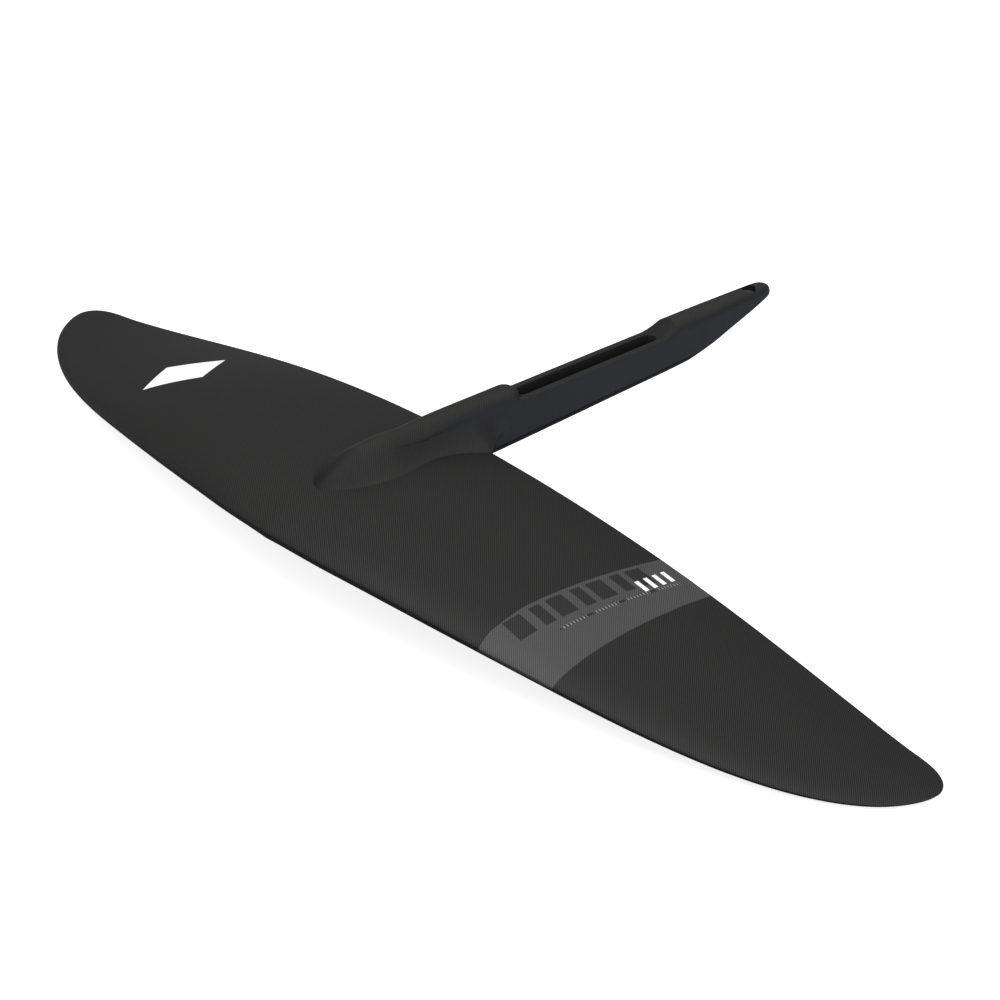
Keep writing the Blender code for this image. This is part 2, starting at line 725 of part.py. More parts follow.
def tail_deck_ring(y):
    half = half_width(y)
    rise = min((y - SOCKET_END) / RAMP, 1.0)
    end = math.sqrt(1 - (max(y - END_START, 0.0) / END_RADIUS) ** 2)
    height = max(rise * (END_LEAST + (1 - END_LEAST) * end), RIDGE_LEAST)
    ridge = DECK_BASE + (CROWN + RAIL_Z - DECK_BASE) * height
    top = mirrored(half_crown(half, ridge, DECK_BASE + BASE_EDGE))
    return closed_flat(y, top, half, DECK_BASE)


def make_tail_deck():
    deck = loft("tail_deck", [tail_deck_ring(y) for y in TAIL_DECK_STATIONS], CARBON)
    cut(deck, drill("counterbore_cutter", COUNTERBORE / 2, RAIL_Z - 4.0, RAIL_Z + 20.0, HOLE_Y))


def make_tail_block():
    tail = loft("tail_block", [tail_ring(y) for y in TAIL_STATIONS], LAMINATE)
    cut(tail, drill("bush_cutter", BUSH_OUTER / 2 + GAP, CUT_LOW, CUT_HIGH, HOLE_Y))
    cut(tail, loft("seat_pocket", seat_rings(GAP, below=6.0), None, where=tools))


def make_seat_plate():
    seat = loft("stabiliser_seat_plate", seat_rings(0.0, below=0.0), LAMINATE)
    cut(seat, drill("seat_bolt_cutter", BUSH_INNER / 2 + 0.2, CUT_LOW, CUT_HIGH, HOLE_Y))


def make_bush():
    """The stabiliser bolt's flanged bush, from the counterbore down to the seat plate."""
    flange, outer, inner = COUNTERBORE / 2 - FLANGE_CLEAR, BUSH_OUTER / 2, BUSH_INNER / 2
    low = keel_at(HOLE_Y + outer) + SEAT_PLATE + GAP + 0.2
    outline = [
        (flange, DECK_BASE + FLANGE), (flange, DECK_BASE), (outer, DECK_BASE),
        (outer, low), (inner, low), (inner, DECK_BASE + FLANGE),
    ]
    turned("stabiliser_bolt_bush", outline, HOLE_Y, STEEL)


# ---------------------------------------------------------------- build
make_skins()
make_wing_filling()
make_spar()
make_root_blocks()
make_front_deck()
make_keel_fairing()
make_shells()
make_body_cores()
make_mast_bolt_sleeves(make_floor_block(), make_keel_strip(), make_liner())
make_tail_block()
make_seat_plate()
make_tail_deck()
make_bush()
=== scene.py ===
"""Looks of the hydrofoil wing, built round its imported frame.

The outer mouldings are fine meshes on the frame's own design curves, and every piece
gets a procedural finish. Design numbers are millimetres. The row frame is +X port,
+Y aft, +Z up, with the origin on the mast socket's floor. The wing has its own frame,
tilted about X, whose y is the chordwise station.
"""

import math
from functools import reduce

import bmesh
import bpy
import numpy as np
from mathutils import Matrix, Vector

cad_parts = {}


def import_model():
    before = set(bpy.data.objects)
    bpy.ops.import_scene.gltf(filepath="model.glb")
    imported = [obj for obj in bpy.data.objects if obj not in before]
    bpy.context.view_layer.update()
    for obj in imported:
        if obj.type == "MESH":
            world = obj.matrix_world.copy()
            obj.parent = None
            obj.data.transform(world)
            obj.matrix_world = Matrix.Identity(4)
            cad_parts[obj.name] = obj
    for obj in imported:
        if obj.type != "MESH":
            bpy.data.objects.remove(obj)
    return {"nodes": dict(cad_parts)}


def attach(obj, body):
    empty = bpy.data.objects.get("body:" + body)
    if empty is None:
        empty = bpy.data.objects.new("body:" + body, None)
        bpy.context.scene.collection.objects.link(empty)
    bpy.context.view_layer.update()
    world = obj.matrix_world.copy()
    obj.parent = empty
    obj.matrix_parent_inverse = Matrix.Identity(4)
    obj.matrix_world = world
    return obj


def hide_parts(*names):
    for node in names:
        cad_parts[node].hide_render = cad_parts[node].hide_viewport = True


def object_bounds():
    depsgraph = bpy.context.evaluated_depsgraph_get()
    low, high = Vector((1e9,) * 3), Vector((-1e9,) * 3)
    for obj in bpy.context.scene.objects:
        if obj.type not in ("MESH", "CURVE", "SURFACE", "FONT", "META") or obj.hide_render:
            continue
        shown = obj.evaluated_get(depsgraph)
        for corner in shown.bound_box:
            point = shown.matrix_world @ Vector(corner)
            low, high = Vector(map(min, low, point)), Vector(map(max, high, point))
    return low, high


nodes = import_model()["nodes"]


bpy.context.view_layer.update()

# ---------------------------------------------------------------- design numbers, mm
MM = 0.001
HALF_SPAN = 410.3
WING_SET_DEG = 4.0
COS, SIN = math.cos(math.radians(WING_SET_DEG)), math.sin(math.radians(WING_SET_DEG))
SEAT_Y, SEAT_Z = 292.0, 8.05     # wing frame point that lies at y 0, z RAIL_Z in the row frame
RAIL_Z = 18.0
THICK_ROOT, THICK_TIP = 0.135, 0.095  # shares of the chord
CAMBER, CAMBER_AT = 0.03, 0.4
EDGE_THICK = 0.9
DROOP, DROOP_EASE = -112.0, 56.6      # height at the tip from span share squared and to the fourth
SKIN_ROOT, SKIN_TIP = 1.6, 1.0

SOCKET_WIDTH, SOCKET_LENGTH, SOCKET_CORNER = 10.6, 140.0, 4.2
SOCKET_END = SOCKET_LENGTH / 2
SLEEVE_Y, SLEEVE_HOLE, SLEEVE_BORE = 45.0, 10.3, 8.2
LINING_TOP = 17.2
HALF_BODY = 10.3
CORNER_WIDTH, CORNER_HEIGHT = 3.6, 5.0  # the body's rounded lower corners
CROWN, CROWN_POWER = 8.3, 2.25          # height over the rails, superellipse power
SHELL_INNER, SHELL_END = 6.45, 95.0
TAIL_START = SHELL_END + 0.04
TAIL_ROUND_START, TAIL_ROUND_RUN = 184.0, 11.35
HOLE_Y, COUNTERBORE, TAIL_BORE = 174.0, 12.0, 8.4

EDGE_Y = -119.75                 # the root's trailing edge in the row frame
FLARE = 34.0                     # the junction's plan fillet behind the trailing edge
FLARE_END = EDGE_Y + FLARE
FLARE_SHARES = (0.03, 0.07, 0.12, 0.18, 0.25, 0.33, 0.42, 0.52, 0.62, 0.72, 0.82, 0.91, 1.0)
SINK = 0.22                      # the fairings' feet go this far into the wing's skin
LID_DEPTH = 0.6                  # their hidden faces lie this much deeper

CROWN_STEPS, FLANK_STEPS, FLAT_STEPS, CORNER_STEPS, LID_POINTS = 26, 30, 6, 9, 12

# share of the half span, leading edge, trailing edge (wing frame)
PLAN = [
    (0.0, 0.8, 171.1), (0.1, 3.4, 171.4), (0.2, 9.1, 172.6), (0.3, 16.7, 174.5),
    (0.4, 26.1, 176.7), (0.5, 36.8, 178.5), (0.6, 48.5, 179.5), (0.7, 62.1, 179.2),
    (0.8, 78.6, 177.3), (0.9, 101.0, 173.5), (0.955, 119.2, 170.9), (1.0, 153.0, 153.0),
]
# over the wing: station, half width on the wing, half width of the crown, ridge height
FAIRING = [
    (44.6, 0.0, 0.0, 16.25), (46.0, 5.4, 2.6, 17.3), (48.5, 9.0, 4.6, 19.0),
    (52.0, 12.6, 6.4, 21.2), (57.0, 16.4, 8.0, 23.9), (66.0, 20.9, 9.6, 27.5),
    (79.0, 24.9, 10.3, 30.5), (96.0, 25.6, 10.6, 30.7), (118.0, 21.6, 10.6, 28.4),
    (130.0, 20.0, 10.5, 27.5), (144.0, 20.8, 10.3, 26.5), (157.0, 24.0, 10.3, 25.7),
    (171.7, 28.8, 10.3, 24.8),
]
# under the wing: station, half width on the wing, height of the underside (wing frame)
KEEL_FAIRING = [
    (60.0, 0.0, -7.7), (62.0, 6.0, -8.6), (68.0, 10.2, -10.4), (75.0, 13.0, -12.2),
    (95.0, 17.5, -15.2), (125.0, 20.5, -17.4), (150.0, 23.5, -18.3), (171.7, 28.8, -18.2),
]
# y, height of the body's underside
KEEL = [
    (-119.0, -16.6), (-95.0, -16.1), (-32.0, -14.0), (12.0, -12.3), (57.0, -10.7),
    (81.0, -9.8), (102.0, -8.5), (112.0, -6.4), (125.0, -3.0), (145.0, 2.76),
    (165.0, 8.52), (195.4, 17.27),
]
# y, half width of the body
BODY_PLAN = [
    (-119.0, HALF_BODY), (81.0, HALF_BODY), (115.0, 10.1), (150.0, 9.2), (175.0, 8.3),
    (184.0, 7.7), (189.5, 6.9), (193.0, 5.8), (195.4, 4.4),
]


# ---------------------------------------------------------------- curves
def smooth_through(knots, values, x):
    """Monotone cubic through a table."""
    knots, values = np.asarray(knots, float), np.asarray(values, float)
    x = np.asarray(x, float)
    step = np.diff(knots)
    rise = np.diff(values) / step
    slope = np.empty_like(values)
    slope[0], slope[-1] = rise[0], rise[-1]
    for i in range(1, len(knots) - 1):
        if rise[i - 1] * rise[i] <= 0:
            slope[i] = 0.0
        else:
            before, after = 2 * step[i] + step[i - 1], step[i] + 2 * step[i - 1]
            slope[i] = (before + after) / (before / rise[i - 1] + after / rise[i])
    i = np.clip(np.searchsorted(knots, x, side="right") - 1, 0, len(step) - 1)
    t = np.clip((x - knots[i]) / step[i], 0.0, 1.0)
    return (
        values[i] * (1 + 2 * t) * (1 - t) ** 2 + slope[i] * step[i] * t * (1 - t) ** 2
        + values[i + 1] * t * t * (3 - 2 * t) + slope[i + 1] * step[i] * t * t * (t - 1)
    )


def table(rows, column, x, power=1.0):
    """A column of a table at x, interpolated as its power so that it can start round."""
    got = smooth_through([row[0] for row in rows], [row[column] ** power for row in rows], x)
    return np.maximum(got, 0.0) ** (1 / power) if power != 1.0 else got


def within(rows, x):
    return min(max(x, rows[0][0]), rows[-1][0])


def ramp(value, start, length):
    """Eases from 0 to 1 over a length."""
    share = min(max(float(value - start) / length, 0.0), 1.0)
    return share * share * (3 - 2 * share)


def quarter(count):
    return np.linspace(0.0, np.pi / 2, count)


def body_half_width(y):
    return float(table(BODY_PLAN, 1, y))


def keel_height(y):
    return float(table(KEEL, 1, y))


# ---------------------------------------------------------------- the wing's surface
PLAN_SHARE = [row[0] for row in PLAN]
PLAN_MIDDLE = [(lead + trail) / 2 for _, lead, trail in PLAN]
PLAN_HALF_SQUARED = [((trail - lead) / 2) ** 2 for _, lead, trail in PLAN]


def leading_edge_and_chord(x):
    share = np.minimum(np.abs(x) / HALF_SPAN, 1.0)
    middle = smooth_through(PLAN_SHARE, PLAN_MIDDLE, share)
    half = np.sqrt(np.maximum(smooth_through(PLAN_SHARE, PLAN_HALF_SQUARED, share), 0.0))
    return middle - half, 2 * half


def camber_line(x, aft, chord):
    """Height of the mean line at a share aft along the chord."""
    span, peak = np.abs(x) / HALF_SPAN, CAMBER_AT
    return DROOP * span**2 + DROOP_EASE * span**4 + CAMBER * chord * np.where(
        aft < peak,
        (2 * peak * aft - aft * aft) / peak**2,
        ((1 - 2 * peak) + 2 * peak * aft - aft * aft) / (1 - peak) ** 2,
    )


def half_thickness(x, aft, chord):
    """NACA four-digit thickness that ends in a small half round."""
    thick = THICK_ROOT + (THICK_TIP - THICK_ROOT) * (np.abs(x) / HALF_SPAN) ** 1.5
    body = 5 * thick * chord * (
        0.2969 * np.sqrt(aft) - 0.126 * aft - 0.3516 * aft**2 + 0.2843 * aft**3 - 0.1036 * aft**4
    )
    edge = EDGE_THICK / 2
    last = np.clip((1 - aft) * chord / edge, 0.0, 1.0)
    return (body + edge * aft) * np.sqrt(np.maximum(1 - (1 - last) ** 2, 0.0))


def wing_height(x, station, upper):
    lead, chord = leading_edge_and_chord(x)
    aft = np.clip((station - lead) / np.maximum(chord, 1e-6), 0.0, 1.0)
    sign = 1.0 if upper else -1.0
    return camber_line(x, aft, chord) + sign * half_thickness(x, aft, chord)


def row_height(station, height):
    """Row z of a point in the wing's frame."""
    return (station - SEAT_Y) * SIN + (height - SEAT_Z) * COS + RAIL_Z


def row_y(station, height):
    """Row y of a point in the wing's frame."""
    return (station - SEAT_Y) * COS - (height - SEAT_Z) * SIN


def station_at(y, z):
    """The wing's chordwise station at a row point."""
    return SEAT_Y + y * COS + (z - RAIL_Z) * SIN


def surface_z(x, y, upper):
    """Height of the wing's surface over (x, y), row frame, settled by iteration."""
    x, y = np.broadcast_arrays(np.asarray(x, float), np.asarray(y, float))
    z = np.full(x.shape, 5.0)
    for _ in range(5):
        station = station_at(y, z)
        z = row_height(station, wing_height(x, station, upper))
    return z


def centre_station(y, upper):
    """The wing's station over the centre line at row y, no further aft than its edge."""
    y = min(y, EDGE_Y)
    return float(station_at(y, surface_z(0.0, y, upper)))


# ---------------------------------------------------------------- meshes
def grid_mesh(name, rings):
    """A closed, capped mesh through a (rings, points, 3) array in mm."""
    rings = np.asarray(rings)
    rows, cols = rings.shape[:2]
    faces = []
    for i in range(rows - 1):
        for j in range(cols):
            k = (j + 1) % cols
            faces.append((i * cols + j, i * cols + k, (i + 1) * cols + k, (i + 1) * cols + j))
    faces.append(tuple(range(cols))[::-1])
    faces.append(tuple((rows - 1) * cols + j for j in range(cols)))
    mesh = bpy.data.meshes.new(name)
    mesh.from_pydata((rings.reshape(-1, 3) * MM).tolist(), [], faces)
    work = bmesh.new()
    work.from_mesh(mesh)
    bmesh.ops.remove_doubles(work, verts=work.verts, dist=3e-6)
    bmesh.ops.dissolve_degenerate(work, dist=1e-7, edges=work.edges)
    bmesh.ops.recalc_face_normals(work, faces=work.faces)
    work.to_mesh(mesh)
    work.free()
    made = bpy.data.objects.new(name, mesh)
    bpy.context.scene.collection.objects.link(made)
    return made


def smooth(obj, degrees=32.0):
    obj.data.shade_smooth()
    obj.data.set_sharp_from_angle(angle=math.radians(degrees))
    return obj


def subtract(obj, *cutters):
    """Cuts the cutters from obj for good."""
    for cutter in cutters:
        made = obj.modifiers.new("cut", "BOOLEAN")
        made.operation, made.solver, made.object = "DIFFERENCE", "EXACT", cutter
    bpy.context.view_layer.update()
    graph = bpy.context.evaluated_depsgraph_get()
    mesh = bpy.data.meshes.new_from_object(obj.evaluated_get(graph))
    obj.modifiers.clear()
    old, obj.data = obj.data, mesh
    bpy.data.meshes.remove(old)
    mesh.name = obj.name
    for cutter in cutters:
        data = cutter.data
        bpy.data.objects.remove(cutter)
        bpy.data.meshes.remove(data)


def ring_at(x, y, z):
    return np.column_stack([x, np.broadcast_to(y, np.shape(x)), z])


def closed_ring(x, y, z, lid_x, lid_z):
    """Half an outline from the centre line, mirrored, then a lid between its feet."""
    return ring_at(
        np.concatenate([-x[:0:-1], x, lid_x]), y,
        np.concatenate([z[:0:-1], z, np.broadcast_to(lid_z, lid_x.shape)]),
    )


def lid_between(half, count):
    """Points from half to -half, both ends left out."""
    return np.linspace(half, -half, count + 2)[1:-1]


def prism(name, outline, low, high):
    """An upright prism over an (x, y) outline."""
    x, y = np.array(outline, float).T
    return grid_mesh(name, [ring_at(x, y, np.full(len(x), float(z))) for z in (low, high)])


def drill(y, diameter, low, high, sides=72):
    """An upright round cutter on the centre line."""
    angle = np.arange(sides) * 2 * np.pi / sides
    radius = diameter / 2
    outline = np.column_stack([radius * np.cos(angle), y + radius * np.sin(angle)])
    return prism("cutter", outline, low, high)


def rounded_slot(half_x, half_y, radius, steps):
    """A rectangle's outline with rounded corners."""
    x, y = half_x - radius, half_y - radius
    out = []
    for corner_x, corner_y, start in ((x, y, 0), (-x, y, 90), (-x, -y, 180), (x, -y, 270)):
        for i in range(steps + 1):
            angle = math.radians(start + 90 * i / steps)
            out.append((corner_x + radius * math.cos(angle), corner_y + radius * math.sin(angle)))
    return out


# ---------------------------------------------------------------- the wing's skins
def build_skin(name, upper):
    span_steps, chord_steps = 120, 62
    half = HALF_SPAN * np.sin(np.pi / 2 * np.linspace(0, 1, span_steps + 1))
    half[-1] = HALF_SPAN - 0.002
    across = np.concatenate([-half[:0:-1], half])
    shares = (1 - np.cos(np.pi * np.linspace(0, 1, chord_steps + 1) ** 1.2)) / 2
    lead, chord = (edge[:, None] for edge in leading_edge_and_chord(across))
    aft, x = np.meshgrid(shares, across)
    line, thick = camber_line(x, aft, chord), half_thickness(x, aft, chord)
    wall = SKIN_ROOT + (SKIN_TIP - SKIN_ROOT) * np.abs(x) / HALF_SPAN
    sign = 1.0 if upper else -1.0

    def sheet(offset):
        station, height = lead + aft * chord, line + sign * offset
        return np.stack([x, row_y(station, height), row_height(station, height)], axis=-1)

    outer, inner = sheet(thick), sheet(np.maximum(thick - wall, 0.0))
    return smooth(grid_mesh(name, np.concatenate([outer, inner[:, -2:0:-1]], axis=1)), 40)


# ---------------------------------------------------------------- sections of the body
EDGE_MIDDLE = float(sum(surface_z(12.0, EDGE_Y - 1.5, upper) for upper in (True, False))) / 2


def foot_at(y, upper):
    """Half width where a fairing lands, with the plan fillet behind the trailing edge."""
    rows = FAIRING if upper else KEEL_FAIRING
    if y <= EDGE_Y:
        return float(table(rows, 1, within(rows, centre_station(y, upper)), 2.0))
    foot, narrow = FAIRING[-1][1], HALF_BODY - 0.04
    share = min((y - EDGE_Y) / FLARE, 1.0)
    return narrow + (foot - narrow) * (1 - share) ** 1.5


def ground_at(x, y, upper):
    """What a fairing lands on: the wing's surface, then the thin web behind its edge."""
    sign = 1.0 if upper else -1.0
    on_wing = surface_z(x, min(y, EDGE_Y - 2.0), upper)
    behind = min(max((y - EDGE_Y) / FLARE, 0.0), 1.0)
    web = EDGE_MIDDLE + sign * EDGE_THICK / 2 * (1 - behind)
    blend = ramp(y, EDGE_Y - 2.0, 3.0)
    return on_wing * (1 - blend) + web * blend


def crown_points(half, ridge, shoulder):
    angle = quarter(CROWN_STEPS + 1)
    power = 2 / CROWN_POWER
    return half * np.sin(angle) ** power, shoulder + (ridge - shoulder) * np.cos(angle) ** power


def flank(half, top, foot, ground):
    """The hollow side between the body and its foot, a curve pulled towards their corner."""
    t = np.linspace(0.0, 1.0, FLANK_STEPS + 1)[1:]
    pull_x, pull_z = half + 0.24 * (foot - half), ground + 0.40 * (top - ground)
    x = half * (1 - t) ** 2 + 2 * pull_x * t * (1 - t) + foot * t**2
    return x, top * (1 - t) ** 2 + 2 * pull_z * t * (1 - t) + ground * t**2


def upper_outline(y):
    """(x, z) from the ridge to the foot at row y, over the wing and just behind it."""
    station = centre_station(y, True)
    at = within(FAIRING, station)
    foot = foot_at(y, True)
    half = HALF_BODY
    if y <= EDGE_Y:
        half = min(float(table(FAIRING, 2, at, 2.0)), foot * 0.62)
    ridge = row_height(at, float(table(FAIRING, 3, at)))
    ridge += (RAIL_Z + CROWN - ridge) * ramp(y, -150.0, 34.0)
    half += (HALF_BODY - half) * ramp(y, -150.0, 30.0)
    centre = float(ground_at(0.0, y, True))
    blend = ramp(station, 80.0, 60.0)
    shoulder = (1 - blend) * (centre + 0.45 * (ridge - centre)) + blend * RAIL_Z
    crown_x, crown_z = crown_points(half, ridge, shoulder)
    flank_x, flank_z = flank(half, shoulder, foot, float(ground_at(foot, y, True)))
    x, z = np.concatenate([crown_x, flank_x]), np.concatenate([crown_z, flank_z])
    # forward of the crown the section is a plain dome that lands on the wing at a crease
    out = np.clip(x / max(foot, 1e-6), 0.0, 1.0)
    dome = ground_at(x, y, True) + (ridge - centre) * (1 - out**2) ** 2
    blend = ramp(station, 92.0, 58.0)
    return x, (1 - blend) * dome + blend * z


def lower_outline(y):
    """(x, z) from the middle of the underside to the foot at row y."""
    station = centre_station(y, False)
    at = within(KEEL_FAIRING, station)
    foot = foot_at(y, False)
    deep = row_height(at, float(table(KEEL_FAIRING, 2, at)))
    blend = ramp(y, -145.0, 30.0)
    deep = deep * (1 - blend) + keel_height(max(y, KEEL[0][0])) * blend
    half = min(HALF_BODY, foot * 0.6) if y <= EDGE_Y else HALF_BODY
    corner = CORNER_WIDTH * half / HALF_BODY
    ground = float(ground_at(foot, y, False))
    tall = min(CORNER_HEIGHT, max((ground - deep) * 0.4, 0.05))
    angle = quarter(CORNER_STEPS + 1)
    flank_x, flank_z = flank(half, deep + tall, foot, ground)
    flat_x = np.linspace(0.0, half - corner, FLAT_STEPS + 1)[:-1]
    x = np.concatenate([flat_x, half - corner * (1 - np.sin(angle)), flank_x])
    z = np.concatenate([np.full(FLAT_STEPS, deep), deep + tall * (1 - np.cos(angle)), flank_z])
    # forward, the section is a plain dome under the wing
    out = np.clip(x / max(foot, 1e-6), 0.0, 1.0)
    depth = max(float(ground_at(0.0, y, False)) - deep, 0.0)
    dome = ground_at(x, y, False) - depth * (1 - out**2)
    blend = ramp(station, 75.0, 70.0)
    return x, (1 - blend) * dome + blend * z


# ---------------------------------------------------------------- fairings on the wing
def fairing_rings(upper, nose_run, nose_count, gap, count, sink_shares):
    """Rings from the fairing's nose to the end of the flare.

    The stations crowd towards the nose over nose_run. sink_shares are the shares of SINK
    by which the foot and the points next to it go into the wing.
    """
    start = (FAIRING if upper else KEEL_FAIRING)[0][0]
    nose = float(row_y(start, wing_height(0.0, start, upper))) + 0.02
    stations = [nose + nose_run * t**2 for t in np.linspace(0, 1, nose_count)]
    stations += list(np.linspace(stations[-1] + gap, EDGE_Y, count))
    stations += [EDGE_Y + FLARE * share for share in FLARE_SHARES]
    sign = 1.0 if upper else -1.0
    rings = []
    for y in stations:
        x, z = upper_outline(y) if upper else lower_outline(y)
        lid_x = np.linspace(x[-1], -x[-1], LID_POINTS)
        lid_z = EDGE_MIDDLE
        if y <= EDGE_Y:
            for i, share in enumerate(sink_shares, 1):
                z[-i] -= sign * SINK * share
            lid_z = ground_at(lid_x, y, upper) - sign * SINK - sign * LID_DEPTH
        rings.append(closed_ring(x, y, z, lid_x, lid_z))
    return rings


DECK_ROUND = 10.0                # length over which the deck's aft end rounds down
END_BULGE, BULGE_LENGTH = 8.0, 15.0  # how far its sides hang back forward of its middle
DECK_TOE = -SOCKET_END - END_BULGE


def build_front_deck():
    """The deck with its nose fairing, up to the socket."""
    rings = fairing_rings(
        upper=True, nose_run=16.0, nose_count=15, gap=1.6, count=51, sink_shares=(1.0, 0.35, 0.1)
    )
    # behind the junction only the deck is left, standing on the two shells
    base = RAIL_Z - 0.25
    crown_x, crown_z = crown_points(HALF_BODY, RAIL_Z + CROWN, RAIL_Z)
    x = np.concatenate([crown_x, np.full(FLANK_STEPS, HALF_BODY)])
    side_z = np.linspace(RAIL_Z, base, FLANK_STEPS + 1)[1:]
    round_off = [DECK_ROUND * (1 - math.sin(angle)) for angle in quarter(15)]
    for before in [15.0, 13.0, 11.5] + round_off:
        lift = math.sqrt(max(1 - (1 - min(before / DECK_ROUND, 1.0)) ** 2, 0.0))
        z = np.concatenate([RAIL_Z + (crown_z - RAIL_Z) * lift, side_z])
        lid_x = lid_between(HALF_BODY, LID_POINTS)
        ring = closed_ring(x, -SOCKET_END - before, z, lid_x, base)
        bulge = END_BULGE * max(1 - before / BULGE_LENGTH, 0.0) ** 1.5
        ring[:, 1] -= bulge * (np.abs(ring[:, 0]) / HALF_BODY) ** 2.4
        rings.append(ring)
    last = rings[-1].copy()
    last[:, 2] = np.minimum(last[:, 2], base)
    rings.append(last)
    return smooth(grid_mesh("front_deck_moulding", rings))


def build_keel_fairing():
    rings = fairing_rings(
        upper=False, nose_run=18.0, nose_count=13, gap=2.0, count=39, sink_shares=(1.0, 0.35)
    )
    return smooth(grid_mesh("keel_fairing_moulding", rings))


# ---------------------------------------------------------------- body round the socket
LIP_BEVEL = 0.25


def slot_edge(y):
    """The rail's inner edge, rounding in at the slot's ends."""
    half, radius = SOCKET_WIDTH / 2, SOCKET_CORNER
    past = abs(y) - (SOCKET_END - radius)
    return half if past <= 0 else half - radius + math.sqrt(max(radius**2 - past * past, 0.0))


def build_shell(name, sign):
    """One side of the body with its rail; sign is 1 to port, -1 to starboard."""
    arc = [SOCKET_END - SOCKET_CORNER * (1 - math.sin(angle)) for angle in quarter(11)]
    slot = [-y for y in arc[::-1]] + list(np.linspace(-arc[0], arc[0], 21)[1:-1]) + arc
    toe = DECK_TOE - 0.6
    # y, whether the slot's lip is there, whether the top is a rail
    sections = [(y, False, 0.0) for y in np.linspace(FLARE_END - 5.0, toe, 9)]
    sections += [(y, False, 1.0) for y in (toe, DECK_TOE + 4.0, -SOCKET_END)]
    sections += [(y, True, 1.0) for y in slot]
    sections += [(SOCKET_END, False, 1.0)]
    sections += [(y, False, 0.0) for y in (SOCKET_END + 0.02, 78.0, 86.0, SHELL_END)]
    edge_angle, corner_angle = quarter(5)[1:], quarter(CORNER_STEPS + 1)[1:]
    side_steps = 8
    rings = []
    for y, lip, rail in sections:
        half, low = body_half_width(y), keel_height(y)
        top = RAIL_Z - 0.2 * (1 - rail)
        radius = 0.55 * rail + 0.02
        edge = slot_edge(y) if lip else SHELL_INNER
        bevel = LIP_BEVEL if lip else 0.0
        x = np.concatenate([
            [edge + bevel, half - radius],
            half - radius + radius * np.sin(edge_angle),
            np.full(side_steps, half),
            half - CORNER_WIDTH * (1 - np.cos(corner_angle)),
            [SHELL_INNER, SHELL_INNER, edge, edge],
        ])
        z = np.concatenate([
            [top, top],
            top - radius + radius * np.cos(edge_angle),
            np.linspace(top - radius, low + CORNER_HEIGHT, side_steps + 1)[1:],
            low + CORNER_HEIGHT * (1 - np.sin(corner_angle)),
            [low, LINING_TOP, LINING_TOP, top - bevel],
        ])
        rings.append(ring_at(x * sign, y, z))
    return smooth(grid_mesh(name, rings))


def build_strip():
    """The strip that closes the underside between the shells, drilled at the sleeves."""
    x = np.array([-1.0, 0.0, 1.0, 1.0, 0.0, -1.0]) * SHELL_INNER
    rise = np.array([0.0, 0.0, 0.0, 3.0, 3.0, 3.0])
    stations = np.linspace(FLARE_END, SHELL_END, 27)
    made = grid_mesh("keel_strip_moulding", [ring_at(x, y, keel_height(y) + rise) for y in stations])
    subtract(made, *[drill(side * SLEEVE_Y, SLEEVE_HOLE, -30, -1) for side in (-1, 1)])
    return smooth(made)


def build_lining():
    """The socket's liner: a block with the pocket and two sleeve bores cut out."""
    outline = rounded_slot(SHELL_INNER, SOCKET_END + 1.0, 0.3, 2)
    made = prism("socket_lining", outline, -2.0, LINING_TOP)
    pocket = rounded_slot(SOCKET_WIDTH / 2, SOCKET_END, SOCKET_CORNER, 14)
    cutters = [prism("cutter", pocket, 0.0, 30.0)]
    cutters += [drill(side * SLEEVE_Y, SLEEVE_BORE, -8, 4) for side in (-1, 1)]
    subtract(made, *cutters)
    return smooth(made)


# ---------------------------------------------------------------- the tail
RAMP, CREST_SWEEP = 16.5, 2.6    # length of the deck's front slope, how far its crest bows
SWEEP_FADE = 0.7                 # share of RAMP over which the bow dies out


def tail_stations(start, count):
    end = [TAIL_ROUND_START + TAIL_ROUND_RUN * math.sin(angle) for angle in quarter(16)[1:]]
    return list(np.linspace(start, TAIL_ROUND_START, count)) + end


def tail_deck_ring(y, lift, sweep=0.0):
    base, half = RAIL_Z - 0.22, body_half_width(y)
    x, z = crown_points(half, RAIL_Z + CROWN, RAIL_Z)
    z = RAIL_Z + (z - RAIL_Z) * lift
    ring = closed_ring(np.append(x, half), y, np.append(z, base), lid_between(half, 8), base)
    ring[:, 1] -= sweep * (np.abs(ring[:, 0]) / half) ** 2
    return ring


def build_tail_deck():
    rings = []
    for t in list(np.linspace(0, 1, 13)) + [1.0 + past for past in (0.06, 0.14, 0.26, 0.45, 0.7)]:
        rise = min(t, 1.0)
        sweep = CREST_SWEEP * rise * max(1 - max(t - 1, 0) / SWEEP_FADE, 0.0)
        rings.append(tail_deck_ring(SOCKET_END + RAMP * t, max(rise, 0.004), sweep))
    for y in tail_stations(100.0, 43):
        past = max(y - TAIL_ROUND_START, 0.0) / 12.6
        rings.append(tail_deck_ring(y, 0.35 + 0.65 * math.sqrt(1 - past**2)))
    made = grid_mesh("tail_deck_moulding", rings)
    subtract(made, drill(HOLE_Y, COUNTERBORE, RAIL_Z - 3, RAIL_Z + 30, 96))
    return smooth(made)


